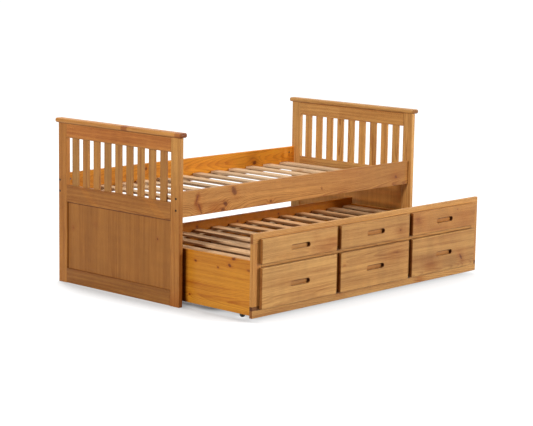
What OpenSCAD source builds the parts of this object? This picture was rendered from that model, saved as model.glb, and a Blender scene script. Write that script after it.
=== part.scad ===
// Captain's bed: a single bed between two slatted end boards, with a pull-out
// guest bed on castors below it. The guest bed's front carries three drawers
// under three false drawer fronts. +X runs from the footboard to the headboard,
// -Y is the side the guest bed pulls out to, Z = 0 is the floor, and the origin
// is under the middle of the whole outline with the guest bed pulled out.

/* [Bed size] */
// Clear length between the two end boards
inner_l = 1920; // [1800:5:2100]
// Width over the end board posts
bed_w = 975; // [900:5:1100]
// How far the guest bed is pulled out
pull_out = 505; // [0:5:900]

/* [End boards] */
// Width of a post
post_w = 69; // [66:1:90]
// Thickness of posts and rails
post_t = 26; // [22:1:34]
// Height of a post, up to the cap
post_h = 904; // [850:1:1000]
// Height of the top rail
top_rail_h = 80; // [50:1:110]
// Height of the middle rail
mid_rail_h = 95; // [70:1:120]
// Top edge of the middle rail above the floor
mid_rail_top = 557; // [540:1:620]
// Height of the bottom rail
bottom_rail_h = 83; // [60:1:120]
// Gap under the bottom rail
bottom_rail_z = 1; // [1:1:20]
// Length of a rail's tenon
tenon_l = 30; // [15:1:33]
// Thickness of a rail's tenon
tenon_t = 10; // [8:1:14]
// Shoulder above and below a tenon
tenon_shoulder = 12; // [8:1:20]
// Thickness of the lower panel
panel_t = 8; // [4:0.5:10]
// Depth of the groove that holds the panel
panel_groove = 8; // [5:1:12]
// Room between a joint's two halves
joint_fit = 0.2; // [0.1:0.05:0.5]

/* [Spindles] */
// Spindles in each end board
spindle_n = 9; // [5:1:11]
// Width of a spindle
spindle_w = 49; // [30:1:52]
// Thickness of a spindle
spindle_t = 12; // [9:1:16]
// Depth of the housings that hold a spindle's ends
spindle_house = 12; // [6:1:25]

/* [Caps] */
// Thickness of a cap
cap_t = 26; // [20:1:34]
// Overhang of a cap past the faces of the board
cap_over_x = 14; // [6:1:30]
// Overhang of a cap past the posts
cap_over_y = 17; // [6:1:40]
// Radius along the edges of a cap
cap_round = 11; // [4:1:12.5]

/* [Side rails and slats] */
// Height of a side rail
rail_h = 139; // [100:1:150]
// Thickness of a side rail
rail_t = 20; // [18:1:28]
// Bottom edge of the side rails above the floor
rail_z = 477; // [470:1:520]
// Set-back of the front rail from the post fronts
rail_setback = 19; // [8:1:25]
// Width of the ledge that carries the slats
ledge_w = 20; // [15:1:35]
// Height of the ledge
ledge_h = 25; // [18:1:35]
// Lower edge of a ledge above its rail's lower edge
ledge_lift = 9; // [0:1:15]
// Slats in the bed
slat_n = 12; // [8:1:14]
// Distance from an end board to the nearest slat
slat_end = 76.5; // [5:0.5:90]
// Width of a slat
slat_w = 62; // [50:1:80]
// Thickness of a slat
slat_t = 14; // [12:0.5:20]
// Room at each end of a slat
slat_gap = 3; // [1:0.5:6]

/* [Rail bolts] */
// Radius of a bolt's shank
bolt_r = 3.5; // [3:0.25:4]
// Radius of a bolt's head
bolt_head_r = 6.5; // [5.5:0.25:8]
// Thickness of a bolt's head
bolt_head_t = 4; // [3:0.5:6]
// Sinking of a bolt's head below the post face
bolt_sink = 1.5; // [0:0.5:4]
// Radius of the hexagon socket over its corners
socket_r = 2.8; // [2:0.1:4]
// Depth of the hexagon socket
socket_d = 2.4; // [1.5:0.1:3]
// Height of the upper bolt above the rail's lower edge
bolt_high = 103; // [85:1:115]
// Distance between the two bolts of a rail end
bolt_apart = 62; // [40:1:75]
// Distance from the rail's end to the barrel nut
nut_in = 45; // [30:1:60]
// Radius of a barrel nut
nut_r = 6; // [5:0.25:7]
// Length of a barrel nut
nut_l = 16; // [12:0.5:17]
// Radial room of a bolt in its holes
bolt_room = 0.25; // [0.1:0.05:0.5]

/* [Guest bed front] */
// Room between the guest bed and each end board
trundle_gap = 3.5; // [2:0.5:8]
// Floor clearance of the front
front_z = 20; // [12:1:26]
// Thickness of the front frame
frame_t = 20; // [16:1:26]
// Frame showing below the drawers
bottom_margin = 45; // [35:1:60]
// Height of a drawer front
lower_h = 215; // [200:1:222]
// Frame showing between drawers and false fronts
row_gap = 21; // [12:1:28]
// Height of a false front
upper_h = 128; // [110:1:140]
// Frame showing above the false fronts
top_margin = 30; // [15:1:36]
// Frame showing at each end
end_margin = 48.5; // [36:0.5:70]
// Frame showing between columns
col_gap = 32; // [20:1:45]
// Lap of a front over the frame behind it
front_lap = 16; // [10:1:20]
// Height of the frame's top rail
frame_top_h = 52; // [35:1:60]
// Thickness of the drawer fronts and false fronts
front_t = 22; // [18:1:26]
// Air behind a closed drawer front
front_air = 0.5; // [0.3:0.1:3]

/* [Finger slots] */
// Length of a finger slot
slot_l = 148; // [100:1:180]
// Height of a finger slot
slot_h = 27; // [22:1:34]
// Depth of a finger slot
slot_d = 15; // [10:1:16]
// Slot centre below the middle of its front
slot_drop = 3; // [0:1:12]

/* [Guest bed box] */
// Inset of the box sides from the ends of the front
side_inset = 26.5; // [10:0.5:40]
// Thickness of the box boards
side_t = 20; // [16:1:24]
// Lower edge of the box boards
side_z = 25; // [22:1:34]
// Upper edge of the two side boards
side_top = 312; // [308:1:330]
// Upper edge of the back board
back_top = 349; // [314:1:380]
// Thickness of the two dividers
divider_t = 18; // [12:1:22]
// Lower edge of the dividers
divider_z = 40; // [30:1:60]
// Lower edge of the guest bed's slats
guest_slat_z = 292; // [288:1:300]
// Height of the guest bed's slat ledges
guest_ledge_h = 20; // [15:1:22]
// Slats in the guest bed
guest_slat_n = 13; // [8:1:14]
// Distance from a side board to the nearest guest slat
guest_slat_end = 15; // [2:0.5:60]

/* [Drawer boxes] */
// Depth of a drawer box
box_d = 430; // [300:5:600]
// Height of a drawer box
box_h = 155; // [120:1:160]
// Thickness of a drawer box's boards
box_t = 12; // [10:1:16]
// Thickness of a drawer bottom
base_t = 5; // [3:0.5:8]
// Height of a drawer bottom above the box's lower edge
base_lift = 10; // [8:1:20]
// Depth of the groove that holds a drawer bottom
base_groove = 6; // [3:1:8]
// Room beside a drawer box in its opening
box_side_room = 4; // [2:0.5:8]
// Room under a drawer box in its opening
box_under_room = 10; // [5:1:15]
// Height of the shelf of a runner
runner_t = 16; // [10:1:18]
// Height of a runner's guide above its shelf
runner_guide = 34; // [15:1:60]
// Room beside a drawer box in its runners
runner_side_room = 1; // [0.5:0.25:2]
// Room between a drawer box and its runner's shelf
runner_room = 0.3; // [0.2:0.05:0.6]

/* [Castors] */
// Radius of a castor wheel
wheel_r = 16; // [14:0.5:17]
// Width of a castor wheel
wheel_w = 14; // [10:0.5:18]
// Radius of an axle
axle_r = 2.5; // [2:0.25:3.5]
// Radial running room of a wheel on its axle
axle_room = 0.05; // [0.03:0.01:0.1]
// Thickness of a castor's sheet
fork_t = 2; // [1.5:0.25:3]
// Radius of an axle's two heads
axle_head_r = 4; // [3:0.5:6]
// Room between a wheel and each cheek
cheek_room = 0.6; // [0.3:0.1:1.5]
// Radius of the round end of a cheek
cheek_r = 7.5; // [5:0.5:12]
// Lip of a castor's plate beyond each cheek
plate_lip = 5; // [4:1:12]
// Height of a castor from the floor to its block
castor_h = 38; // [36:0.5:42]
// Length of a castor's plate
plate_l = 44; // [38:1:60]
// Height of a castor block
block_h = 32; // [20:1:32]
// Width of a castor block
block_w = 34; // [32:1:70]
// Length of a castor block
block_l = 64; // [60:1:90]
// Distance of the castors from the front and back of the box
castor_in = 108; // [60:1:200]

/* [Hidden] */
$fn = 64;
over = 1;
pine = "#c8934f";
raw_pine = "#d8b88c";
orange_pine = "#cf8a33";

// The outline runs from the drawer fronts to the back overhang of the caps.
front_reach = bed_w / 2 + pull_out + front_air + front_t;
back_reach = bed_w / 2 + cap_over_y;
bed_y = (front_reach - back_reach) / 2;
front_y = bed_y - bed_w / 2;
back_y = bed_y + bed_w / 2;

// End boards
end_x = inner_l / 2 + post_t / 2;
opening_w = bed_w - 2 * post_w;
opening_h = post_h - top_rail_h - mid_rail_top;
panel_z = bottom_rail_z + bottom_rail_h;
panel_h = mid_rail_top - mid_rail_h - panel_z;

// Side rails, ledges and slats
front_rail_y = front_y + rail_setback;
back_rail_y = back_y - rail_t;
slat_z = rail_z + ledge_lift + ledge_h;
slat_y = front_rail_y + rail_t + slat_gap;
slat_l = back_rail_y - slat_gap - slat_y;
bolt_z = [rail_z + bolt_high, rail_z + bolt_high - bolt_apart];
bolt_y = [front_rail_y + rail_t / 2, back_rail_y + rail_t / 2];

// Front of the guest bed
guest_y = front_y - pull_out;
guest_w = inner_l - 2 * trundle_gap;
col_w = (guest_w - 2 * end_margin - 2 * col_gap) / 3;
col_pitch = col_w + col_gap;
lower_z = front_z + bottom_margin;
upper_z = lower_z + lower_h + row_gap;
front_top = upper_z + upper_h + top_margin;
stile_w = end_margin + front_lap;
muntin_w = col_gap + 2 * front_lap;
frame_bottom_h = bottom_margin + front_lap;
frame_mid_z = lower_z + lower_h - front_lap;
frame_mid_h = row_gap + 2 * front_lap;
frame_top_z = front_top - frame_top_h;

// Box of the guest bed
guest_d = bed_w - rail_t;
box_front_y = guest_y + frame_t;
box_back_y = guest_y + guest_d - side_t;
side_x = guest_w / 2 - side_inset;
inner_x = side_x - side_t;
guest_slat_l = box_back_y - box_front_y - 2 * slat_gap;
guest_ledge_z = guest_slat_z - guest_ledge_h;

// Drawer boxes and runners
box_w = col_w - 2 * front_lap - 2 * box_side_room;
box_z = lower_z + front_lap + box_under_room;
drawer_y = guest_y - front_air;
shelf_z = box_z - runner_room - runner_t;

// Castors
fork_w = wheel_w + 2 * cheek_room + 2 * fork_t;
castor_x = inner_x - block_w / 2;
castor_y = [box_front_y + castor_in, box_back_y - castor_in];

// A board given by its lowest corner and its size
module board(at, size) translate(at) cube(size);

// A box centred along X and Y on a point, rising from it
module block(at, size) translate([at[0] - size[0] / 2, at[1] - size[1] / 2, at[2]]) cube(size);

// A cylinder along X that starts at a point
module rod_x(at, r, l) translate(at) rotate([0, 90, 0]) cylinder(r = r, h = l);

// One end board's pieces are drawn for the side `s`: -1 footboard, 1 headboard
module tenoned_rail(s, z, h) {
    block([s * end_x, bed_y, z], [post_t, opening_w, h]);
    block([s * end_x, bed_y, z + tenon_shoulder],
          [tenon_t, opening_w + 2 * tenon_l, h - 2 * tenon_shoulder]);
}

module mortise(s, z, h)
    block([s * end_x, bed_y, z + tenon_shoulder - joint_fit],
          [tenon_t + 2 * joint_fit, opening_w + 2 * tenon_l + 2 * joint_fit,
           h - 2 * tenon_shoulder + 2 * joint_fit]);

module panel_slot(s)
    block([s * end_x, bed_y, panel_z - panel_groove - joint_fit],
          [panel_t + 2 * joint_fit, opening_w + 2 * panel_groove + 2 * joint_fit,
           panel_h + 2 * panel_groove + 2 * joint_fit]);

module spindle_row(s, room)
    for (i = [0 : spindle_n - 1])
        block([s * end_x, bed_y - opening_w / 2 + (i + 0.5) * spindle_w
               + (i + 1) * (opening_w - spindle_n * spindle_w) / (spindle_n + 1),
               mid_rail_top - spindle_house - room],
              [spindle_t + 2 * room, spindle_w + 2 * room,
               opening_h + 2 * spindle_house + 2 * room]);

// Holes of the two bolts that hold a side rail to a post
module bolt_holes(s, y)
    for (z = bolt_z) {
        rod_x([s * inner_l / 2 - (s > 0 ? nut_in : post_t) - over, y, z],
              bolt_r + bolt_room, nut_in + post_t + 2 * over);
        rod_x([s * (inner_l / 2 + post_t) - (s > 0 ? bolt_head_t + bolt_sink : over), y, z],
              bolt_head_r + bolt_room, bolt_head_t + bolt_sink + over);
    }

module post(s, side) {
    y = side < 0 ? front_y : back_y - post_w;
    difference() {
        board([s * end_x - post_t / 2, y, 0], [post_t, post_w, post_h]);
        mortise(s, post_h - top_rail_h, top_rail_h);
        mortise(s, mid_rail_top - mid_rail_h, mid_rail_h);
        mortise(s, bottom_rail_z, bottom_rail_h);
        panel_slot(s);
        bolt_holes(s, side < 0 ? bolt_y[0] : bolt_y[1]);
    }
}

// The cap's edges are half round: two rounded sections cross in each corner
module cap_section(w) {
    flat = w / 2 - cap_round;
    translate([-flat, 0]) square([2 * flat, cap_t]);
    translate([-w / 2, cap_round]) square([w, cap_t - 2 * cap_round]);
    for (x = [-flat, flat], z = [cap_round, cap_t - cap_round])
        translate([x, z]) circle(r = cap_round);
}

module cap(s) {
    w = post_t + 2 * cap_over_x;
    l = bed_w + 2 * cap_over_y;
    translate([s * end_x, bed_y, post_h]) intersection() {
        translate([0, l / 2, 0]) rotate([90, 0, 0]) linear_extrude(l) cap_section(w);
        translate([-w / 2, 0, 0]) rotate([90, 0, 90]) linear_extrude(w) cap_section(l);
    }
}

module top_rail(s)
    difference() {
        tenoned_rail(s, post_h - top_rail_h, top_rail_h);
        spindle_row(s, joint_fit);
    }

module middle_rail(s)
    difference() {
        tenoned_rail(s, mid_rail_top - mid_rail_h, mid_rail_h);
        spindle_row(s, joint_fit);
        panel_slot(s);
    }

module bottom_rail(s)
    difference() {
        tenoned_rail(s, bottom_rail_z, bottom_rail_h);
        panel_slot(s);
    }

module end_panel(s)
    block([s * end_x, bed_y, panel_z - panel_groove],
          [panel_t, opening_w + 2 * panel_groove, panel_h + 2 * panel_groove]);

module footboard_front_post() color(pine) post(-1, -1);
module footboard_back_post() color(pine) post(-1, 1);
module footboard_cap() color(pine) cap(-1);
module footboard_top_rail() color(pine) top_rail(-1);
module footboard_middle_rail() color(pine) middle_rail(-1);
module footboard_bottom_rail() color(pine) bottom_rail(-1);
module footboard_panel() color(pine) end_panel(-1);
module footboard_spindles() color(pine) spindle_row(-1, 0);
module headboard_front_post() color(pine) post(1, -1);
module headboard_back_post() color(pine) post(1, 1);
module headboard_cap() color(pine) cap(1);
module headboard_top_rail() color(pine) top_rail(1);
module headboard_middle_rail() color(pine) middle_rail(1);
module headboard_bottom_rail() color(pine) bottom_rail(1);
module headboard_panel() color(pine) end_panel(1);
module headboard_spindles() color(pine) spindle_row(1, 0);

// A side rail is bored for its bolts and, from its inner face, its barrel nuts
module side_rail(y, bolts, inner_face, inward)
    difference() {
        board([-inner_l / 2, y, rail_z], [inner_l, rail_t, rail_h]);
        for (s = [-1, 1]) {
            bolt_holes(s, bolts);
            for (z = bolt_z)
                translate([s * (inner_l / 2 - nut_in), inner_face + inward * over, z])
                    rotate([inward * 90, 0, 0])
                        cylinder(r = nut_r + joint_fit,
                                 h = (rail_t + nut_l) / 2 + joint_fit + over);
        }
    }

module front_side_rail()
    color(pine) side_rail(front_rail_y, bolt_y[0], front_rail_y + rail_t, 1);

module back_side_rail()
    color(orange_pine) side_rail(back_rail_y, bolt_y[1], back_rail_y, -1);

module slat_ledges()
    color(raw_pine) for (y = [front_rail_y + rail_t, back_rail_y - ledge_w])
        board([-inner_l / 2, y, rail_z + ledge_lift], [inner_l, ledge_w, ledge_h]);

// Slats spread evenly between two walls at the distance `reach` from the middle
module slat_row(n, reach, y, z, l) {
    pitch = (2 * reach - slat_w) / (n - 1);
    for (i = [0 : n - 1])
        board([i * pitch - reach, y, z], [slat_w, l, slat_t]);
}

module bed_slats()
    color(raw_pine) slat_row(slat_n, inner_l / 2 - slat_end, slat_y, slat_z, slat_l);

// Each bolt has a hexagon socket and ends inside its barrel nut
module rail_bolts()
    color("#3a3632") for (s = [-1, 1], y = bolt_y, z = bolt_z)
        translate([s * (inner_l / 2 + post_t - bolt_sink), y, z]) rotate([0, -s * 90, 0])
            difference() {
                union() {
                    cylinder(r = bolt_head_r, h = bolt_head_t);
                    cylinder(r = bolt_r, h = post_t - bolt_sink + nut_in + nut_r / 2);
                }
                translate([0, 0, -over])
                    cylinder(r = socket_r, h = socket_d + over, $fn = 6);
            }

module barrel_nuts()
    color("#8a8680") for (s = [-1, 1], i = [0, 1], z = bolt_z)
        translate([s * (inner_l / 2 - nut_in), bolt_y[i], z]) difference() {
            rotate([90, 0, 0]) cylinder(r = nut_r, h = nut_l, center = true);
            rod_x([-nut_r - over, 0, 0], bolt_r + joint_fit / 2, 2 * nut_r + 2 * over);
        }

// Front frame of the guest bed
module frame_board(x, z, w, h) board([x, guest_y, z], [w, frame_t, h]);

module guest_top_rail()
    color(pine) frame_board(-guest_w / 2, frame_top_z, guest_w, frame_top_h);

module guest_bottom_rail()
    color(pine) frame_board(-guest_w / 2, front_z, guest_w, frame_bottom_h);

module guest_middle_rail()
    color(pine) frame_board(-guest_w / 2 + stile_w, frame_mid_z,
                            guest_w - 2 * stile_w, frame_mid_h);

module guest_stile(s)
    frame_board(s < 0 ? -guest_w / 2 : guest_w / 2 - stile_w, front_z + frame_bottom_h,
                stile_w, frame_top_z - front_z - frame_bottom_h);

module guest_left_stile() color(pine) guest_stile(-1);
module guest_right_stile() color(pine) guest_stile(1);

module muntins(z, h)
    for (s = [-1, 1]) frame_board(s * col_pitch / 2 - muntin_w / 2, z, muntin_w, h);

module guest_upper_muntins()
    color(pine) muntins(frame_mid_z + frame_mid_h, frame_top_z - frame_mid_z - frame_mid_h);

module guest_lower_muntins()
    color(pine) muntins(front_z + frame_bottom_h, frame_mid_z - front_z - frame_bottom_h);

// Box of the guest bed
module guest_side(s)
    board([s < 0 ? -side_x : inner_x, box_front_y, side_z],
          [side_t, box_back_y - box_front_y, side_top - side_z]);

module guest_left_side() color(orange_pine) guest_side(-1);
module guest_right_side() color(orange_pine) guest_side(1);

module guest_back_board()
    color(orange_pine) board([-side_x, box_back_y, side_z],
                             [2 * side_x, side_t, back_top - side_z]);

module divider(s)
    board([s * col_pitch / 2 - divider_t / 2, box_front_y, divider_z],
          [divider_t, box_back_y - box_front_y, guest_ledge_z - divider_z]);

module left_divider() color(raw_pine) divider(-1);
module right_divider() color(raw_pine) divider(1);

module guest_slat_ledges()
    color(raw_pine) for (y = [box_front_y, box_back_y - ledge_w])
        board([-inner_x, y, guest_ledge_z], [2 * inner_x, ledge_w, guest_ledge_h]);

module guest_slats()
    color(raw_pine) slat_row(guest_slat_n, inner_x - guest_slat_end, box_front_y + slat_gap,
                             guest_slat_z, guest_slat_l);

// A front with its finger slot, a blind pocket with round ends
module slotted_front(i, y, z, h)
    difference() {
        board([i * col_pitch - col_w / 2, y, z], [col_w, front_t, h]);
        translate([i * col_pitch, y - over, z + h / 2 - slot_drop]) rotate([-90, 0, 0]) {
            linear_extrude(slot_d + over) {
                square([slot_l - slot_h, slot_h], center = true);
                for (s = [-1, 1]) translate([s * (slot_l - slot_h) / 2, 0]) circle(d = slot_h);
            }
        }
    }

module false_front(i) slotted_front(i, guest_y - front_t, upper_z, upper_h);

module left_false_front() color(pine) false_front(-1);
module middle_false_front() color(pine) false_front(0);
module right_false_front() color(pine) false_front(1);

// A runner is a shelf under a drawer side with a guide beside it, fixed to a wall
module runner(wall, side, s) {
    shelf = abs(wall - side) + box_t;
    guide = abs(wall - side) - runner_side_room;
    for (part = [[shelf, shelf_z, runner_t], [guide, shelf_z + runner_t, runner_guide]])
        board([s < 0 ? wall : wall - part[0], box_front_y, part[1]], [part[0], box_d, part[2]]);
}

module drawer_runners()
    color(raw_pine) for (i = [-1 : 1], s = [-1, 1])
        let (outer = i * s > 0,
             wall = outer ? s * inner_x : i * col_pitch + s * (col_pitch - divider_t) / 2)
            runner(wall, i * col_pitch + s * box_w / 2, s);

// Drawers: a slotted front, two sides, two ends and a bottom held in grooves
module drawer_base(i, room)
    board([i * col_pitch - box_w / 2 + box_t - base_groove - room,
           drawer_y + box_t - base_groove - room, box_z + base_lift - room],
          [box_w - 2 * (box_t - base_groove) + 2 * room,
           box_d - 2 * (box_t - base_groove) + 2 * room, base_t + 2 * room]);

module drawer_front(i) slotted_front(i, drawer_y - front_t, lower_z, lower_h);

module drawer_sides(i)
    difference() {
        for (s = [-1, 1])
            board([i * col_pitch + (s < 0 ? -box_w / 2 : box_w / 2 - box_t), drawer_y, box_z],
                  [box_t, box_d, box_h]);
        drawer_base(i, joint_fit);
    }

module drawer_ends(i)
    difference() {
        for (y = [drawer_y, drawer_y + box_d - box_t])
            board([i * col_pitch - box_w / 2 + box_t, y, box_z], [box_w - 2 * box_t, box_t, box_h]);
        drawer_base(i, joint_fit);
    }

module left_drawer_front() color(pine) drawer_front(-1);
module left_drawer_sides() color(raw_pine) drawer_sides(-1);
module left_drawer_ends() color(raw_pine) drawer_ends(-1);
module left_drawer_bottom() color(raw_pine) drawer_base(-1, 0);
module middle_drawer_front() color(pine) drawer_front(0);
module middle_drawer_sides() color(raw_pine) drawer_sides(0);
module middle_drawer_ends() color(raw_pine) drawer_ends(0);
module middle_drawer_bottom() color(raw_pine) drawer_base(0, 0);
module right_drawer_front() color(pine) drawer_front(1);
module right_drawer_sides() color(raw_pine) drawer_sides(1);
module right_drawer_ends() color(raw_pine) drawer_ends(1);
module right_drawer_bottom() color(raw_pine) drawer_base(1, 0);

// Castors: a block on the box side, a folded fork, an axle and a wheel
module castor_blocks()
    color(raw_pine) for (s = [-1, 1], y = castor_y)
        block([s * castor_x, y, castor_h], [block_w, block_l, block_h]);

module fork(x, y)
    difference() {
        union() {
            block([x, y, castor_h - fork_t], [fork_w + 2 * plate_lip, plate_l, fork_t]);
            for (s = [-1, 1]) translate([x + s * (fork_w - fork_t) / 2, y, wheel_r]) {
                rod_x([-fork_t / 2, 0, 0], cheek_r, fork_t);
                block([0, 0, 0], [fork_t, 2 * cheek_r, castor_h - fork_t - wheel_r]);
            }
        }
        rod_x([x - fork_w, y, wheel_r], axle_r, 2 * fork_w);
    }

module castor_forks() color("#26262a") for (s = [-1, 1], y = castor_y) fork(s * castor_x, y);

module castor_axles()
    color("#8a8680") for (s = [-1, 1], y = castor_y) {
        rod_x([s * castor_x - fork_w / 2, y, wheel_r], axle_r, fork_w);
        for (e = [-1, 1])
            rod_x([s * castor_x + e * fork_w / 2 - (e < 0 ? fork_t : 0), y, wheel_r],
                  axle_head_r, fork_t);
    }

module wheel(s, y)
    color("#1b1b1d") difference() {
        rod_x([s * castor_x - wheel_w / 2, y, wheel_r], wheel_r, wheel_w);
        rod_x([s * castor_x - wheel_w, y, wheel_r], axle_r + axle_room, 2 * wheel_w);
    }

module front_left_wheel() wheel(-1, castor_y[0]);
module front_right_wheel() wheel(1, castor_y[0]);
module back_left_wheel() wheel(-1, castor_y[1]);
module back_right_wheel() wheel(1, castor_y[1]);

footboard_front_post();
footboard_back_post();
footboard_cap();
footboard_top_rail();
footboard_middle_rail();
footboard_bottom_rail();
footboard_panel();
footboard_spindles();
headboard_front_post();
headboard_back_post();
headboard_cap();
headboard_top_rail();
headboard_middle_rail();
headboard_bottom_rail();
headboard_panel();
headboard_spindles();
front_side_rail();
back_side_rail();
slat_ledges();
bed_slats();
rail_bolts();
barrel_nuts();
guest_top_rail();
guest_middle_rail();
guest_bottom_rail();
guest_left_stile();
guest_right_stile();
guest_upper_muntins();
guest_lower_muntins();
guest_left_side();
guest_right_side();
guest_back_board();
left_divider();
right_divider();
guest_slat_ledges();
guest_slats();
left_false_front();
middle_false_front();
right_false_front();
drawer_runners();
castor_blocks();
castor_forks();
castor_axles();
front_left_wheel();
front_right_wheel();
back_left_wheel();
back_right_wheel();
left_drawer_front();
left_drawer_sides();
left_drawer_ends();
left_drawer_bottom();
middle_drawer_front();
middle_drawer_sides();
middle_drawer_ends();
middle_drawer_bottom();
right_drawer_front();
right_drawer_sides();
right_drawer_ends();
right_drawer_bottom();
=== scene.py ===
# %% [markdown]
# # A captain's bed with a pull-out guest bed
# The bed is joinery in waxed pine: boards, and almost nothing else. What makes it look real is small. Every
# board has eased edges, its own piece of the tree, a few knots, and a thin shadow where it meets its
# neighbour. This lesson builds the boards as surfaces worked out with numpy, gives them one shared pine
# figure, and lights them like a product on a pale floor. All lengths are in metres.

# %% Load the frame
import math

import bpy
import numpy as np
from mathutils import Euler, Matrix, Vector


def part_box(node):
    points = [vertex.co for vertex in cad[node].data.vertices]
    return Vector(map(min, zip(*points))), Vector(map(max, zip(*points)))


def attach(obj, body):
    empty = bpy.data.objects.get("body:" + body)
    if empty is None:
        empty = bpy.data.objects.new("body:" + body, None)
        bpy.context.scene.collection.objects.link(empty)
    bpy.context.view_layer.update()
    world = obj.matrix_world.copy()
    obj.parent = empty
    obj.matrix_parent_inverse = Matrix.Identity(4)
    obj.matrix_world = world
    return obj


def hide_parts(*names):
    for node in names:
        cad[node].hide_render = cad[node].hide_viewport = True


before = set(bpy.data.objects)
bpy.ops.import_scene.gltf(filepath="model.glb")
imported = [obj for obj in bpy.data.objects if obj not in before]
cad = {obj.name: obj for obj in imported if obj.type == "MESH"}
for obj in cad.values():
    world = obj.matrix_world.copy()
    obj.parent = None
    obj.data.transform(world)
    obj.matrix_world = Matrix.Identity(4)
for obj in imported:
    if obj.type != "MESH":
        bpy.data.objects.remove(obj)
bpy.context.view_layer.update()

# %% [markdown]
# ## The camera
# A long lens from far away keeps the long boards nearly parallel, as in a catalogue. The camera stands
# beyond the footboard, on the side where the guest bed comes out, a little above the bed. Three angles turn
# it: round the vertical, down towards the floor, and a slight tilt. We chose them by lining up the edges of
# the two end boards.

# %% Camera
EYE = (-7.1643, -6.5987, 1.965)
TURN, DIP, TILT = (math.radians(a) for a in (-47.0845, -9.2812, 0.9361))
LENS_MM, FILM_MM = 115.73, 36.0
camera = bpy.data.objects.new("camera", bpy.data.cameras.new("camera"))
camera.data.lens, camera.data.sensor_width = LENS_MM, FILM_MM
camera.data.clip_end = 200
camera.matrix_world = (Matrix.Translation(EYE) @ Euler((math.pi / 2 + DIP, 0, TURN)).to_matrix().to_4x4()
                       @ Matrix.Rotation(TILT, 4, "Z"))
bpy.context.collection.objects.link(camera)
bpy.context.scene.camera = camera
print("camera at", EYE, "lens", LENS_MM)

# %% [markdown]
# ## Where the boards are
# A CAD node may hold one board or a whole row of them, such as the slats. The imported mesh is loose
# triangles, so we first weld equal corners by number, then let the lowest corner number spread along the
# triangles until it stops changing. Corners that end with the same number belong to the same board, and its
# box is the smallest and largest coordinate among them.

# %% Boxes of the solids in a node
WELD_GRID = 1e-5

def corners_of(mesh):
    """The places of a mesh's corners, a row for each."""
    flat = np.empty(len(mesh.vertices) * 3)
    mesh.vertices.foreach_get("co", flat)
    return flat.reshape(-1, 3)

def solid_boxes(node):
    """The (lowest, highest) corners of each separate solid of a node, ordered along X, then Y, then Z."""
    mesh = cad[node].data
    points = corners_of(mesh)
    mesh.calc_loop_triangles()
    faces = np.empty(len(mesh.loop_triangles) * 3, int)
    mesh.loop_triangles.foreach_get("vertices", faces)
    keys, weld = np.unique(np.round(points / WELD_GRID).astype(int), axis=0, return_inverse=True)
    faces = weld.ravel()[faces].reshape(-1, 3)
    mark = np.arange(len(keys))
    while True:
        low = mark[faces].min(axis=1)
        spread = mark.copy()
        np.minimum.at(spread, faces.ravel(), np.repeat(low, 3))
        if (spread == mark).all():
            break
        mark = spread
    owner = mark[weld.ravel()]
    boxes = [(points[owner == m].min(axis=0), points[owner == m].max(axis=0)) for m in np.unique(owner)]
    return sorted(boxes, key=lambda box: tuple(np.round(box[0] / WELD_GRID)))

print("slats:", len(solid_boxes("bed_slats")), "spindles:", len(solid_boxes("footboard_spindles")))

# %% [markdown]
# ## A board with eased edges
# A planed board is a box whose edges were rounded with a few strokes of sandpaper. A Bevel modifier on a
# cube would do, but it says nothing about the wood. So the board is one surface of two parameters: one runs
# round a rounded rectangle, the other from end to end. Near each end the rectangle shrinks along a quarter
# circle, which rounds the end. Because the shape is known as a formula, so is the exact normal in every
# corner of the mesh.
#
# Each corner also remembers three facts as attributes. `grain` is its place in the board: along the fibres,
# across the face and through the thickness. `stock` tells the board's number, its tone and its warmth.
# A third attribute holds three masks: 1 on the rounded edges, 1 on end grain, which drinks more wax and turns
# darker, and 1 deep in corners and recesses, where shade is painted.

# %% Board surface
AXES = {"x": 0, "y": 1, "z": 2}

def grain_axes(low, high, along):
    """The three axes of a board: along the grain, across its wide face, through its thickness."""
    a = AXES[along]
    rest = sorted((i for i in range(3) if i != a), key=lambda i: low[i] - high[i])
    return [a] + rest

def grid_faces(rows, columns, closed=False):
    """Four-sided faces between rows of corners. Each row is a loop; closed joins the last row to the first
    one as well."""
    i, j = np.meshgrid(np.arange(rows if closed else rows - 1), np.arange(columns), indexing="ij")
    k, n = (j + 1) % columns, (i + 1) % rows
    return np.stack([i * columns + j, i * columns + k, n * columns + k, n * columns + j], -1).reshape(-1, 4)

def end_faces(rows, columns):
    """The two faces that close a tube of such rows."""
    loop = np.arange(columns)
    return np.stack([loop[::-1], loop + (rows - 1) * columns])

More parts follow.
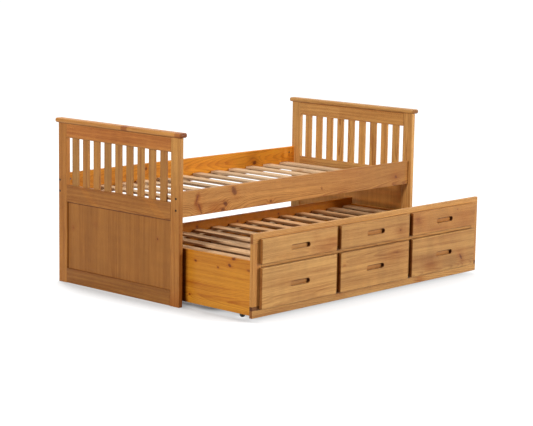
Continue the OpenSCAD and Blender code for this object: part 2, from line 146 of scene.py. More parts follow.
def eased_board(low, high, along, ease=0.002, end_ease=0.0015, steps=3):
    """Corners, normals, masks for wear and for painted shade, and faces of a board.

    At each station along the board a rounded rectangle is drawn: corner centre plus radius times direction.
    Near an end it shrinks by end_ease * (1 - sin p) at the depth end_ease * (1 - cos p), with p from 0 to 90
    degrees."""
    a, b, c = grain_axes(low, high, along)
    low, high = np.array([low, high], float)
    middle, half = (low + high) / 2, (high - low) / 2
    p = np.linspace(0, np.pi / 2, steps + 1)
    depth, inset = end_ease * (1 - np.cos(p)), end_ease * (1 - np.sin(p))
    station = np.concatenate([depth - half[a], (half[a] - depth)[::-1]])
    inset = np.concatenate([inset, inset[::-1]])[:, None]
    lean = np.concatenate([-np.cos(p), np.cos(p)[::-1]])[:, None]
    upright = np.concatenate([np.sin(p), np.sin(p)[::-1]])[:, None]
    angle = (np.arange(4)[:, None] * np.pi / 2 + p).ravel()
    sign_b = np.repeat([1, -1, -1, 1], steps + 1)
    sign_c = np.repeat([1, 1, -1, -1], steps + 1)
    smallest = 0.2 * ease
    radius = np.maximum(ease - inset, smallest)
    points = np.empty((len(station), len(angle), 3))
    points[..., a] = station[:, None] + middle[a]
    points[..., b] = sign_b * (half[b] - inset - radius) + radius * np.cos(angle) + middle[b]
    points[..., c] = sign_c * (half[c] - inset - radius) + radius * np.sin(angle) + middle[c]
    normals = np.empty_like(points)
    normals[..., a] = lean
    normals[..., b] = upright * np.cos(angle)
    normals[..., c] = upright * np.sin(angle)
    round_edge = np.abs(np.sin(2 * (angle % (np.pi / 2))))
    edge = np.maximum(round_edge * np.ones_like(lean), np.abs(2 * lean * upright))
    wear = np.stack([edge, np.abs(normals[..., a]), 0 * edge], -1)
    shape = len(station), len(angle)
    faces = [grid_faces(*shape), end_faces(*shape)]
    if (b - a) % 3 != 1:
        faces = [part[:, ::-1] for part in faces]
    return points.reshape(-1, 3), normals.reshape(-1, 3), wear.reshape(-1, 3), faces

test = eased_board((0, 0, 0), (1, 0.1, 0.02), "x")
print("a board has", len(test[0]), "corners and", sum(map(len, test[3])), "faces")

# %% [markdown]
# ## From boards to a piece
# A piece is one Blender object. It may hold one board or the nine spindles of an end board. The board's
# number drives everything random about it, so the same script gives the same bed each time.

# %% Make a piece
def set_attributes(mesh, **values):
    """Store three numbers for each corner of the mesh under each name."""
    for name, rows in values.items():
        target = mesh.attributes.new(name, "FLOAT_VECTOR", "POINT")
        target.data.foreach_set("vector", np.asarray(rows, float).ravel())

def new_mesh(name, points, faces):
    """A mesh from corners and a list of face arrays."""
    mesh = bpy.data.meshes.new(name)
    mesh.from_pydata(points.tolist(), [], [face for part in faces for face in part.tolist()])
    return mesh

def new_piece(name, body, replaced, finish, points, faces, normals=None, **attributes):
    """Mesh, finish, body and replaced CAD nodes of one piece. Its place is in its mesh."""
    mesh = new_mesh(name, points, faces)
    mesh.shade_smooth()
    set_attributes(mesh, **attributes)
    if normals is not None:
        mesh.normals_split_custom_set_from_vertices(normals.tolist())
    piece = bpy.data.objects.new(name, mesh)
    bpy.context.collection.objects.link(piece)
    mesh.materials.append(finish)
    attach(piece, body)
    SLOT_OF[finish.name.split(".")[0]]
    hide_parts(*replaced)
    return piece

def stock_rows(count, number, tone, warmth):
    """The same three facts for every corner of one board."""
    return np.tile([number, tone, warmth], (count, 1))

def grain_of(points, low, high, along):
    """Place in the board, measured from its middle: along, across and through."""
    axes = grain_axes(low, high, along)
    return (points - (np.array(low) + np.array(high)) / 2)[:, axes]

def planks(name, body, nodes, along, finish, ease=0.002, end_ease=0.0015, tones=0.0, warmths=0.0, number=1,
           steps=3, vary=0.25, boxes=None):
    """One piece with a board for each solid of some nodes. Tones and warmths: one value, or one a board."""
    boxes = boxes or [box for node in nodes.split() for box in solid_boxes(node)]
    rng = np.random.default_rng(number)
    count = len(boxes)
    tones = np.resize(tones, count) + vary * rng.uniform(-1, 1, count) * (count > 1)
    warmths = np.resize(warmths, count) + 0.6 * vary * rng.uniform(-1, 1, count) * (count > 1)
    points, normals, wear, faces, grain, stock = [], [], [], [], [], []
    for index, (low, high) in enumerate(boxes):
        p, n, w, parts = eased_board(low, high, along, ease, end_ease, steps)
        faces += [part + sum(map(len, points)) for part in parts]
        points.append(p)
        normals.append(n)
        wear.append(w)
        grain.append(grain_of(p, low, high, along))
        stock.append(stock_rows(len(p), number + 0.37 * index, tones[index], warmths[index]))
    points, normals, wear, grain, stock = map(np.concatenate, (points, normals, wear, grain, stock))
    return new_piece(name, body, nodes.split(), finish, points, faces, normals,
                     grain=grain, stock=stock, wear=wear)

print("the bed's slats stand on", len(solid_boxes("slat_ledges")), "ledges")

# %% [markdown]
# ## Wiring materials by hand
# Node trees get long. Two small classes keep them readable. A Wire is the output of a node, and each plus,
# minus, times or divide sign after it adds a Math node, so a chain of nodes reads like arithmetic. A Graph
# adds the other nodes and feeds their sockets with wires or numbers.

# %% Node helpers
def sign(operation, swapped=False):
    """What a sign between two wires does: it adds a Math node."""
    return lambda wire, other: wire.graph.calc(operation, *((other, wire) if swapped else (wire, other)))

class Wire:
    """The output of a node, ready for arithmetic."""

    def __init__(self, graph, socket):
        self.graph = graph
        self.socket = socket

    __add__ = __radd__ = sign("ADD")
    __mul__ = __rmul__ = sign("MULTIPLY")
    __sub__ = sign("SUBTRACT")
    __rsub__ = sign("SUBTRACT", swapped=True)
    __truediv__ = sign("DIVIDE")

class Graph:
    """Adds and wires nodes in one node tree."""

    def __init__(self, tree):
        self.tree = tree

    def feed(self, sockets, values):
        """Feed sockets with wires or numbers, in order or by name. None leaves a socket as it is."""
        for key, value in values.items() if isinstance(values, dict) else enumerate(values):
            if isinstance(value, Wire):
                self.tree.links.new(value.socket, sockets[key])
            elif value is not None:
                sockets[key].default_value = value

    def node(self, kind, values=(), **settings):
        """A new node with its settings made and its inputs fed."""
        made = self.tree.nodes.new("ShaderNode" + kind)
        for key, value in settings.items():
            setattr(made, key, value)
        self.feed(made.inputs, values)
        return made

    def wired(self, kind, values=(), out=0, **settings):
        """One output of such a node."""
        return Wire(self, self.node(kind, values, **settings).outputs[out])

    def calc(self, operation, *values, clamp=False):
        return self.wired("Math", values, operation=operation, use_clamp=clamp)

    def vector(self, operation, *values, out=0):
        return self.wired("VectorMath", values, out, operation=operation)

    def scaled(self, vector, factors):
        """A vector times three numbers, or times one number."""
        if isinstance(factors, tuple):
            return self.vector("MULTIPLY", vector, factors)
        return self.vector("SCALE", vector, None, None, factors)

    def fading(self, reach, pace):
        """e to the power of minus pace times reach squared."""
        return self.calc("EXPONENT", self.calc("POWER", reach, 2.0) * -pace)

    def noise(self, place, scale=1.0, detail=2.0, rough=0.5, w=None, out="Fac"):
        values = {"Vector": place, "Scale": scale, "Detail": detail, "Roughness": rough}
        if w is None:
            return self.wired("TexNoise", values, out)
        return self.wired("TexNoise", {**values, "W": w}, out, noise_dimensions="4D")

    def smooth(self, value, low, high, to_low=0.0, to_high=1.0):
        return self.wired("MapRange", (value, low, high, to_low, to_high), interpolation_type="SMOOTHSTEP")

    def mix(self, factor, first, second, blend="MIX"):
        return self.wired("Mix", {0: factor, 6: first, 7: second}, 2, data_type="RGBA", blend_type=blend)

    def tinted(self, base, factor, tint):
        """base, multiplied by a red, green and blue tint as far as factor says."""
        return self.mix(factor, base, (*tint, 1.0), "MULTIPLY")

    def join(self, x, y, z):
        return self.wired("CombineXYZ", (x, y, z))

    def split(self, vector):
        return [Wire(self, socket) for socket in self.node("SeparateXYZ", (vector,)).outputs]

    def attribute(self, name):
        return self.wired("Attribute", (), "Vector", attribute_name=name)

    def own_place(self):
        return self.wired("TexCoord", (), "Object")

    def openness(self, distance, samples=16):
        """1 where nothing stands within a distance of the surface, 0 where it is shut in."""
        return self.wired("AmbientOcclusion", {"Distance": distance}, "AO", samples=samples)

    def bumped(self, height, strength, distance):
        return self.wired("Bump", {"Strength": strength, "Distance": distance, "Height": height})

    def use(self, group, **values):
        """The outputs of a shared group, by name."""
        made = self.node("Group", node_tree=group)
        self.feed(made.inputs, values)
        return {socket.name: Wire(self, socket) for socket in made.outputs}

def shared_group(name, inputs, outputs):
    """An empty node group. Inputs are {name: number}, or None for a vector; outputs are names of numbers."""
    tree = bpy.data.node_groups.new(name, "ShaderNodeTree")
    for key, value in inputs.items():
        kind = "NodeSocketVector" if value is None else "NodeSocketFloat"
        made = tree.interface.new_socket(key, in_out="INPUT", socket_type=kind)
        if value is not None:
            made.default_value = value
    for key in outputs.split():
        tree.interface.new_socket(key, in_out="OUTPUT", socket_type="NodeSocketFloat")
    graph = Graph(tree)
    given = {socket.name: Wire(graph, socket) for socket in tree.nodes.new("NodeGroupInput").outputs}
    return tree, graph, given, tree.nodes.new("NodeGroupOutput").inputs

def new_material(name):
    """A material, the graph of its nodes and its Principled shader."""
    material = bpy.data.materials.new(name)
    material.use_nodes = True
    return material, Graph(material.node_tree), material.node_tree.nodes["Principled BSDF"]

def colour(code):
    """A web colour as linear RGBA."""
    parts = [int(code[i:i + 2], 16) / 255 for i in (1, 3, 5)]
    return tuple(p / 12.92 if p <= 0.04045 else ((p + 0.055) / 1.055) ** 2.4 for p in parts) + (1.0,)

print("mid grey is", round(colour("#808080")[0], 3), "in linear light")

# %% [markdown]
# ## The figure of pine
# A tree grows one ring a year: pale wood in spring, a thin dark line in late summer. A board is a slice
# beside the pith, so its face shows the distance to the pith as lines, which close into tall arches where
# the cut is nearly tangent to the rings. The group below does exactly that. It bends the place in the board
# with slow noise, measures the distance to a pith that lies some way behind the face, and turns that
# distance into rings and broad bands.

# %% Pine figure group
RING, WANDER, QUIVER = 0.0045, 0.026, 0.003
HALF, APART = (0.5, 0.5, 0.5), 19.0
figure, g, given, out = shared_group("pine figure", {"Grain": None, "Number": 1.0, "Bulge": 0.0},
                                     "Rings Bands Streaks Fibre Pores Patch")
chance = g.wired("TexWhiteNoise", (None, given["Number"]), "Color", noise_dimensions="1D")
pith_across, pith_through, pith_lean = g.split(chance)
shifted = g.vector("ADD", given["Grain"], g.scaled(chance, APART))

def figured(lengthwise, crosswise, **settings):
    """Noise in the board, so many spots in a metre of its length and so many in a metre across."""
    return g.noise(g.scaled(shifted, (lengthwise, crosswise, crosswise)), **settings)

slow = figured(1.7, 7.0, detail=1.0, out="Color")
quick = figured(9.0, 45.0, detail=1.0, out="Color")
slow = g.scaled(g.vector("SUBTRACT", slow, HALF), WANDER)
quick = g.scaled(g.vector("SUBTRACT", quick, HALF), (0.0, QUIVER, QUIVER))
along, across, through = g.split(g.vector("ADD", g.vector("ADD", given["Grain"], slow), quick))
drift = along * ((pith_lean - 0.5) * 0.10)
offset = (pith_across - 0.5) * 0.22
behind = pith_through * 0.09 + 0.035
distance = g.vector("LENGTH", g.join(0.0, across - offset, through + behind + drift), out="Value")
distance = distance + given["Bulge"]
uneven = g.noise(g.join(distance * 30.0, 0.0, 0.0), w=given["Number"])
distance = distance + (uneven - 0.5) * 0.012
year = g.calc("FRACT", distance / RING)
g.feed(out, {
    "Rings": g.smooth(year, 0.35, 0.88) * g.smooth(year, 0.9, 1.0, 1.0, 0.0),
    "Bands": g.noise(g.join(distance * 75.0, 3.0, 0.0), w=given["Number"], rough=0.6),
    "Streaks": figured(1.6, 55.0, detail=3.0, rough=0.6),
    "Fibre": figured(22.0, 700.0),
    "Pores": g.smooth(figured(60.0, 1500.0, detail=0.0), 0.66, 0.74),
    "Patch": figured(3.0, 9.0) * 0.55 + figured(19.0, 6.0) * 0.45,
})
print("pine figure has", len(figure.nodes), "nodes")

# %% [markdown]
# ## Knots and marks
# Where a branch left the trunk, the board shows a knot: a dark core of fine rings, a darker rim of bark and
# resin, and fibres that flow round it. One group draws one knot. Its `Bulge` goes back into the pine
# figure, where it pushes the rings outwards, so that the lines really bend round the core. The same group
# with a soft rim and no core draws the cloudy darker marks that pine has near hidden branches.

# %% Knot group
RAGGED = 0.9
knot, g, given, out = shared_group(
    "pine knot", {"Grain": None, "Place": None, "Size": 0.01, "Long": 1.3, "Lean": 0.0},
    "Core Rim Halo Bulge")
away = g.vector("SUBTRACT", given["Grain"], given["Place"])
dx, dy, _ = g.split(g.wired("VectorRotate", {"Vector": away, "Angle": given["Lean"]}, rotation_type="Z_AXIS"))
oval = g.join(dx / (given["Size"] * given["Long"]), dy / given["Size"], 0.0)
calm = g.vector("LENGTH", oval, out="Value")
reach = calm + (g.noise(given["Grain"], scale=75.0, detail=4.0, rough=0.6) - 0.5) * RAGGED
g.feed(out, {
    "Core": g.smooth(reach, 0.35, 1.1, 1.0, 0.0),
    "Rim": g.smooth(reach, 0.5, 0.9) * g.smooth(reach, 0.9, 1.35, 1.0, 0.0),
    "Halo": g.fading(g.calc("MAXIMUM", reach, 0.0), 0.25),
    "Bulge": given["Size"] * g.fading(calm, 0.10),
})
print("pine knot has", len(knot.nodes), "nodes")

# %% [markdown]
# ## Pin knots everywhere
# Between the large knots there are always some small ones. Cells of a Voronoi texture, stretched along the
# grain, place them without a list: each cell has one feature point, and only some cells are allowed to show
# it.

# %% Scattered knots group
CELLS, LONG_PIN = (3.2, 9.0, 9.0), 1.4
scatter, g, given, out = shared_group("pin knots", {"Grain": None, "Number": 1.0, "Share": 0.35},
                                      "Core Halo Bulge")
shift = g.join(given["Number"], 0.0, given["Number"])
wide = g.vector("ADD", g.scaled(given["Grain"], (1.0, 1.0, 0.15)), shift)
spread = g.scaled(wide, CELLS)
cells = g.node("TexVoronoi", {"Vector": spread, "Scale": 1.0}, feature="F1")
delta = g.scaled(g.vector("SUBTRACT", spread, Wire(g, cells.outputs["Position"])),
                 (1 / CELLS[0] / LONG_PIN, 1 / CELLS[1], 1 / CELLS[2]))
pick, girth, _ = g.split(Wire(g, cells.outputs["Color"]))
size = girth * 0.006 + 0.0025
reach = g.vector("LENGTH", delta, out="Value") / size
shown = g.calc("LESS_THAN", pick, given["Share"])
g.feed(out, {
    "Core": shown * g.smooth(reach, 0.7, 1.2, 1.0, 0.0),
    "Halo": shown * g.fading(reach, 0.15),
    "Bulge": shown * size * g.fading(reach, 0.1),
})
print("pin knots has", len(scatter.nodes), "nodes")

# %% [markdown]
# ## Glued lengths
# Furniture pine is often finger-jointed: short lengths are glued end to end, and each length keeps its own
# tone. A length is easy to mask, because the place along the grain is known: it starts at one value and
# ends at another, and a little slant makes the joint run across the face at an angle. The same mask lays
# bands of painted light and shade along a board or across it.

# %% Glued length group
length_and_shade_mask, g, given, out = shared_group(
    "glued length", {"Grain": None, "From": 0.0, "To": 0.1, "Slant": 0.0, "Soft": 0.002}, "Mask")
along, across, _ = g.split(given["Grain"])
place = along + across * given["Slant"]
starts = g.smooth(place, given["From"] - given["Soft"], given["From"] + given["Soft"])
stops = g.smooth(place, given["To"] - given["Soft"], given["To"] + given["Soft"], 1.0, 0.0)
g.feed(out, {"Mask": starts * stops})
print("glued length has", len(length_and_shade_mask.nodes), "nodes")

# %% [markdown]
# ## One timber, several finishes
# The visible boards are waxed to a honey colour. The boards nobody looks at are cheaper: an orange lacquer
# on the sides and the back of the guest bed, and bare planed pine for slats and drawer boxes. All of them
# are the same figure with other colours, so one function builds them. The colour runs from spring wood to
# late wood, then tone and warmth of the single board tint it, and knots and glued lengths go on top. A
# board with knots of its own gets its own material, because their places are part of it.

# %% Timber material
HONEY = dict(light="#bf8e4f", dark="#7e461a", red="#4c1c0a", rings=0.46, bands=0.58, streaks=0.65, patch=0.50,
             end=(0.55, 0.42, 0.32), gloss=0.42)
AMBER = dict(light="#dc962d", dark="#a2540f", red="#4a1208", rings=0.36, bands=0.50, streaks=0.60, patch=0.28,
             end=(0.75, 0.62, 0.50), gloss=0.33)
BARE = dict(light="#d8b58c", dark="#a97c52", red="#6e4225", rings=0.28, bands=0.40, streaks=0.45, patch=0.25,
            end=(0.85, 0.75, 0.66), gloss=0.62)
PANEL = dict(HONEY, rings=0.18, bands=0.22)
FRONT = dict(HONEY, rings=0.28, bands=0.40, streaks=0.80, patch=0.75)
SLOT_OF = {"waxed pine": "waxed_pine", "amber pine": "amber_pine", "bare pine": "raw_pine"}
WARM, COOL = (1.10, 0.80, 0.45), (1.0, 1.08, 1.22)
CLOUD, ROUND_KNOT = (0.74, 0.55, 0.38), (0.78, 0.52, 0.33)
# Tints of painted shade: deep in corners and recesses, and in narrow gaps behind other parts
CORNER_SHADE, GAP_SHADE = (0.22, 0.13, 0.08), (0.30, 0.20, 0.10)
RIM = colour("#4a2010")
MIDDLE = 0.42
KNOT_TINT, RIM_TINT, CORE_TINT = 0.70, 0.60, 0.75
RELIEF, RELIEF_DEPTH = 0.35, 0.0006
SHUT_REACH = 0.07

def band(begin, finish, tint, soft=0.0012, slant=0.0):
    """A stretch of a board from one place to another, its tint, and how soft and how slanted its ends are."""
    return begin, finish, tint, soft, slant

def timber(name, look=HONEY, knots=(), clouds=(), lengths=(), strips=(), pins=0.30, plain=False, shaded_span=None):
    """Pine in one finish. knots: (along, across, size, long, lean, dark). clouds: the same with their
    strength. lengths: bands along the grain; strips: bands across it. Such bands tint glued lengths, and some
    paint light and shade. plain is for CAD solids along Y, which have no attributes. The span given last:
    (from, to) along the grain, where painted shade darkens the board while something stands close to it."""
    material, g, surface = new_material(name)
    if plain:
        grain = g.wired("Mapping", {"Vector": g.own_place(), "Rotation": (0, 0, math.pi / 2)})
        number, tone, warmth, edge, end, corner_shade = 5.0, 0.0, 0.0, 0.0, 0.0, 0.0
    else:
        grain = g.attribute("grain")
        number, tone, warmth = g.split(g.attribute("stock"))
        edge, end, corner_shade = g.split(g.attribute("wear"))

    def mark(along, across, size, stretch, lean):
        return g.use(knot, Grain=grain, Place=(along, across, 0.0), Size=size, Long=stretch,
                     Lean=math.radians(lean))

    pin = g.use(scatter, Grain=grain, Number=number, Share=pins)
    core, rim, halo, bulge = pin["Core"], 0.0, pin["Halo"], pin["Bulge"]
    for *place, dark in knots:
        made = mark(*place)
        core = g.calc("MAXIMUM", core, made["Core"] * dark)
        rim = g.calc("MAXIMUM", rim, made["Rim"] * dark)
        halo = g.calc("MAXIMUM", halo, made["Halo"] * (0.35 + 0.65 * dark))
        bulge = bulge + made["Bulge"]
    wood = g.use(figure, Grain=grain, Number=number, Bulge=bulge)
    depth = wood["Rings"] * look["rings"]
    depth = depth + (wood["Bands"] - MIDDLE) * (2 * look["bands"])
    depth = depth + (wood["Streaks"] - MIDDLE) * (2 * look["streaks"])
    depth = g.calc("ADD", depth, (wood["Fibre"] - 0.5) * 0.8, clamp=True)
    base = g.mix(depth, colour(look["light"]), colour(look["dark"]))
    bright = tone * 0.30 + 1.0 + (wood["Patch"] - 0.5) * look["patch"] - wood["Pores"] * 0.10 - edge * 0.08
    base = g.mix(1.0, base, g.join(bright, bright, bright), "MULTIPLY")
    base = g.tinted(base, end, look["end"])
    base = g.tinted(base, g.calc("MAXIMUM", warmth, 0.0), WARM)
    base = g.tinted(base, g.calc("MINIMUM", warmth, 0.0) * -1.0, COOL)
    along, across, through = g.split(grain)
    for where, bands in ((grain, lengths), (g.join(across, along, through), strips)):
        for begin, finish, tint, soft, slant in bands:
            mask = g.use(length_and_shade_mask, Grain=where, From=begin, To=finish, Slant=slant, Soft=soft)["Mask"]
            base = g.tinted(base, mask, tint)
    for *place, strength in clouds:
        grainy = mark(*place)["Halo"] * (wood["Streaks"] * 1.4 + 0.35)
        base = g.tinted(base, g.calc("MULTIPLY", grainy, strength, clamp=True), CLOUD)
    base = g.tinted(base, halo * KNOT_TINT, ROUND_KNOT)
    base = g.mix(rim * RIM_TINT, base, RIM)
    base = g.mix(core * CORE_TINT, base, colour(look["red"]))
    # Painted shade in corners and recesses, as far as the third mask says
    base = g.tinted(base, corner_shade, CORNER_SHADE)
    # Painted shade where the board runs close behind another part, found by ambient occlusion
    if shaded_span is not None:
        inside = g.use(length_and_shade_mask, Grain=grain, From=shaded_span[0], To=shaded_span[1], Soft=0.01)["Mask"]
        shut_in = g.smooth(g.openness(SHUT_REACH, samples=8), 0.45, 0.80, 1.0, 0.0)
        base = g.tinted(base, inside * shut_in, GAP_SHADE)
    height = wood["Rings"] * 0.35 + wood["Fibre"] * 0.5 - wood["Pores"] * 0.6
    g.feed(surface.inputs, {"Base Color": base, "Roughness": (wood["Streaks"] - 0.5) * 0.25 + look["gloss"],
                            "Normal": g.bumped(height, RELIEF, RELIEF_DEPTH), "Specular IOR Level": 0.20})
    return material

def own_wax(node, **marks):
    """Waxed pine with marks of its own, named after its node."""
    return timber("waxed pine." + node.replace("_", " "), **marks)

waxed = timber("waxed pine")
amber = timber("amber pine", AMBER)
bare = timber("bare pine", BARE, pins=0.15)
print("timber node count:", len(waxed.node_tree.nodes))

# %% [markdown]
# ## Small parts in steel and plastic
# Bolts are blackened steel, axles and nuts are zinc plated, and the castors are moulded plastic. None of
# them is perfectly even: handling leaves faint blotches in the gloss, and moulded plastic has a fine grain.

# %% Steel and plastic
def plain_finish(name, code, metallic, rough, blotch, grain_scale, bump_depth):
    """A metal or plastic whose roughness varies in soft blotches and whose skin has a fine grain."""
    material, g, surface = new_material(name)
    where = g.own_place()
    cloud = g.noise(where, scale=60.0, detail=4.0)
    bright = colour(code)
    dark = tuple(0.72 * v for v in bright[:3]) + (1.0,)
    g.feed(surface.inputs, {"Base Color": g.mix(cloud, dark, bright), "Metallic": metallic,
                            "Roughness": cloud * blotch + (rough - blotch / 2),
                            "Normal": g.bumped(g.noise(where, scale=grain_scale), 0.3, bump_depth)})
    SLOT_OF[name] = name.replace(" ", "_")
    return material

dark_steel = plain_finish("dark steel", "#24221e", 0.6, 0.45, 0.2, 900.0, 0.0001)
zinc = plain_finish("zinc steel", "#6f6d69", 1.0, 0.36, 0.2, 700.0, 0.0001)
plastic = plain_finish("black plastic", "#050506", 0.0, 0.60, 0.15, 1200.0, 0.0002)

def dress(node, material):
    """A CAD solid whose shape is right keeps it and gets a finish."""
    for slot in cad[node].material_slots:
        slot.material = material

print("finishes:", sorted(SLOT_OF))

# %% [markdown]
# ## Boring holes
# The posts have recesses for the bolt heads, and the side rails have holes for barrel nuts. A Boolean
# modifier cuts them, as a drill does. It is applied at once and its cutters are thrown away. The cut makes
# new corners, so the grain is worked out again from their places, which is exact because grain is only
# place. Flat faces and round edges then need fresh normals, which the Weighted Normal modifier gives.

# %% Bore a board
# The shares of the rounding at a board's sides and ends that count as worn
WORN_SIDE, WORN_END = 0.6, 0.4

def drill(face, outward, depth, clear):
    """Middle and length of a cutter that starts clear of a face and ends at a depth behind it."""
    return face + outward * (clear - depth) / 2, depth + clear

def drum(middle, axis, radius, length, sides=32):
    """Corners and faces of a closed cylinder: two rings of points about an axis."""
    turn = np.linspace(0, 2 * np.pi, sides, endpoint=False)
    u, v = [i for i in range(3) if i != axis]
    rings = np.tile(np.array(middle, float), (2, sides, 1))
    rings[..., u] += radius * np.cos(turn)
    rings[..., v] += radius * np.sin(turn)
    rings[0, :, axis] -= length / 2
    rings[1, :, axis] += length / 2
    faces = [grid_faces(2, sides), end_faces(2, sides)]
    return rings.reshape(-1, 3), [part[:, ::-1] for part in faces] if axis == 1 else faces

def bored_board(name, node, low, high, along, finish, holes, ease, end_ease, tone, warmth, number):
    """A single board of the bed with round holes: (middle, axis, radius, length)."""
    points, _, _, faces = eased_board(low, high, along, ease, end_ease)
    piece = new_piece(name, "bed", [node], finish, points, faces)
    cut_points, cut_faces = [], []
    for hole in holes:
        p, parts = drum(*hole)
        cut_faces += [part + sum(map(len, cut_points)) for part in parts]
        cut_points.append(p)
    cutter = bpy.data.objects.new("cutter", new_mesh("cutter", np.concatenate(cut_points), cut_faces))
    bpy.context.collection.objects.link(cutter)
    cut = piece.modifiers.new("bore", "BOOLEAN")
    cut.object, cut.solver = cutter, "EXACT"
    mesh = bpy.data.meshes.new_from_object(piece.evaluated_get(bpy.context.evaluated_depsgraph_get()))
    piece.modifiers.clear()
    piece.data = mesh
    bpy.data.objects.remove(cutter)
    at = corners_of(mesh)
    reach = np.full(3, WORN_SIDE * ease)
    reach[AXES[along]] = WORN_END * end_ease
    near = np.abs(at - (np.array(low) + high) / 2) > (np.array(high) - low) / 2 - reach
    wear = np.stack([near.sum(axis=1) > 1, near[:, AXES[along]], 0 * at[:, 0]], -1)
    set_attributes(mesh, grain=grain_of(at, low, high, along), wear=wear,
                   stock=stock_rows(len(at), number, tone, warmth))
    mesh.set_sharp_from_angle(angle=math.radians(35))
    piece.modifiers.new("normals", "WEIGHTED_NORMAL").keep_sharp = True

# Both hole depths are measured from the face; the cutters start a little outside it.
HEAD_RADIUS, HEAD_DEPTH, HEAD_CLEAR = 0.00675, 0.0055, 0.010
NUT_RADIUS, NUT_DEPTH, NUT_CLEAR = 0.0062, 0.0182, 0.001
print("a bolt recess is", 1000 * HEAD_DEPTH, "mm deep")

# %% [markdown]
# ## The end boards
# Both ends are built alike. Two posts and three rails make a frame. Nine flat spindles stand in its upper
# opening and a thin panel fills the lower one, both set back from the faces, which gives each opening its
# thin shadow. A cap with half-round edges lies on top and hangs over all round. The rails run from post to
# post; their tenons are inside the posts, where only the CAD solids need them.

# %% End boards
def between(node, low_node, high_node):
    """The box of a rail along Y, cut off where its two neighbours begin."""
    low, high = np.array(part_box(node))
    low[1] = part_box(low_node)[1][1]
    high[1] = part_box(high_node)[0][1]
    return low, high

bolt_boxes = solid_boxes("rail_bolts")
LOOKS = {
    "footboard": dict(post_tones=(-0.35, -0.3), rail_tones=(0.05, -0.7, -1.1), panel_tone=-1.15,
                      panel_warmth=0.9, spindle_tone=-0.35, warmth=0.75),
    "headboard": dict(post_tones=(1.2, 1.2), rail_tones=(1.55, 0.8, 0.3), panel_tone=0.0,
                      panel_warmth=0.55, spindle_tone=1.1, warmth=-0.25),
}
# Painted shadow: dark lines round the footboard panel, and dark bands on posts and top rails under the cap
PANEL_SHADOW_LINE, CAP_SHADOW_ON_POST, FADED_JOINT = (0.50, 0.40, 0.34), (0.66, 0.56, 0.50), (1.12, 1.10, 1.0)
CAP_SHADOW = band(0.037, 0.06, (0.62, 0.52, 0.46))
OWN_MARKS = {
    "footboard_panel": dict(
        look=PANEL, lengths=[band(0.1825, 0.30, PANEL_SHADOW_LINE), band(-0.30, -0.1865, (0.72, 0.62, 0.55))],
        strips=[band(0.412, 0.60, PANEL_SHADOW_LINE), band(-0.60, -0.4155, (0.75, 0.65, 0.58))]),
    # Two pale horizontal stripes on the panel: painted light falling between the bed's slats
    "headboard_panel": dict(
        look=dict(PANEL, streaks=0.45),
        lengths=[band(0.06, 0.075, (1.25, 1.22, 1.2), 0.012), band(0.12, 0.14, (1.2, 1.18, 1.16), 0.012)]),
    "footboard_cap": dict(pins=0.2, lengths=[band(-0.097, -0.049, (0.62, 0.44, 0.34), 0.003, 0.3),
                                             band(-0.60, -0.463, (0.66, 0.5, 0.42), 0.004, 0.2)]),
    "headboard_cap": dict(pins=0.2, knots=[(0.10, 0.0, 0.008, 1.4, 10, 0.8)]),
    "footboard_middle_rail": dict(lengths=[band(-0.335, -0.262, FADED_JOINT, 0.006, -1.2),
                                           band(0.208, 0.262, FADED_JOINT, 0.006, -1.2)]),
    "headboard_middle_rail": dict(clouds=[(0.382, 0.03, 0.025, 2.0, 0, 0.6)]),
    "footboard_top_rail": dict(look=dict(HONEY, rings=0.60, streaks=0.8),
                               strips=[CAP_SHADOW, band(-0.034, 0.034, (1.10, 0.96, 0.90), 0.006)]),
    "headboard_top_rail": dict(lengths=[band(-0.6, 0.092, (0.92, 0.88, 0.84), 0.002)], strips=[CAP_SHADOW]),
    # Painted light and shade: the front post is paler towards its top and darker at its foot
    "footboard_front_post": dict(lengths=[band(0.449, 0.50, CAP_SHADOW_ON_POST),
                                          band(0.16, 0.60, (1.20, 1.42, 1.80), 0.16),
                                          band(-0.60, -0.38, (0.92, 0.78, 0.62), 0.06)]),
    "headboard_front_post": dict(lengths=[band(-0.60, -0.02, (0.86, 0.82, 0.78), 0.06)]),
    "footboard_back_post": dict(lengths=[band(0.449, 0.50, CAP_SHADOW_ON_POST)]),
}
own_finish = {node: own_wax(node, **marks) for node, marks in OWN_MARKS.items()}
for count, (end, look) in enumerate(LOOKS.items()):
    outward = -1 if end == "footboard" else 1
    warmth = look["warmth"]
    posts = [f"{end}_front_post", f"{end}_back_post"]
    for number, post, tone in zip((3, 4), posts, look["post_tones"]):
        low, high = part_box(post)
        x, length = drill(low[0] if outward < 0 else high[0], outward, HEAD_DEPTH, HEAD_CLEAR)
        heads = [(a + b) / 2 for a, b in bolt_boxes if low[1] < a[1] < high[1] and outward * a[0] > 0]
        holes = [((x, y, z), 0, HEAD_RADIUS, length) for _, y, z in heads]
        bored_board(post.replace("_post", "_leg"), post, low, high, "z", own_finish.get(post, waxed), holes,
                    0.0025, 0.0008, tone, warmth, number + 2 * count)
    planks(f"{end}_cap_board", "bed", f"{end}_cap", "y", own_finish[f"{end}_cap"], 0.011, 0.011,
           tones=0.75, warmths=warmth * 0.5, number=11 + count, steps=8)
    for (rail, number, share), tone in zip((("top", 23, 0.7), ("middle", 26, 1), ("bottom", 26, 1)),
                                           look["rail_tones"]):
        node = f"{end}_{rail}_rail"
        planks(f"{end}_{rail}_board", "bed", node, "y", own_finish.get(node, waxed), 0.002, 0.0004, tone,
               warmth * share, number + 3 * count, boxes=[between(node, *posts)])
    planks(f"{end}_infill", "bed", f"{end}_panel", "z", own_finish[f"{end}_panel"], 0.001, 0.001,
           tones=look["panel_tone"], warmths=look["panel_warmth"], number=30 + count)
    planks(f"{end}_spindle_row", "bed", f"{end}_spindles", "z", waxed, 0.0015, 0.001,
           tones=look["spindle_tone"], warmths=warmth * 0.5, number=33 + count)
print("end boards done")
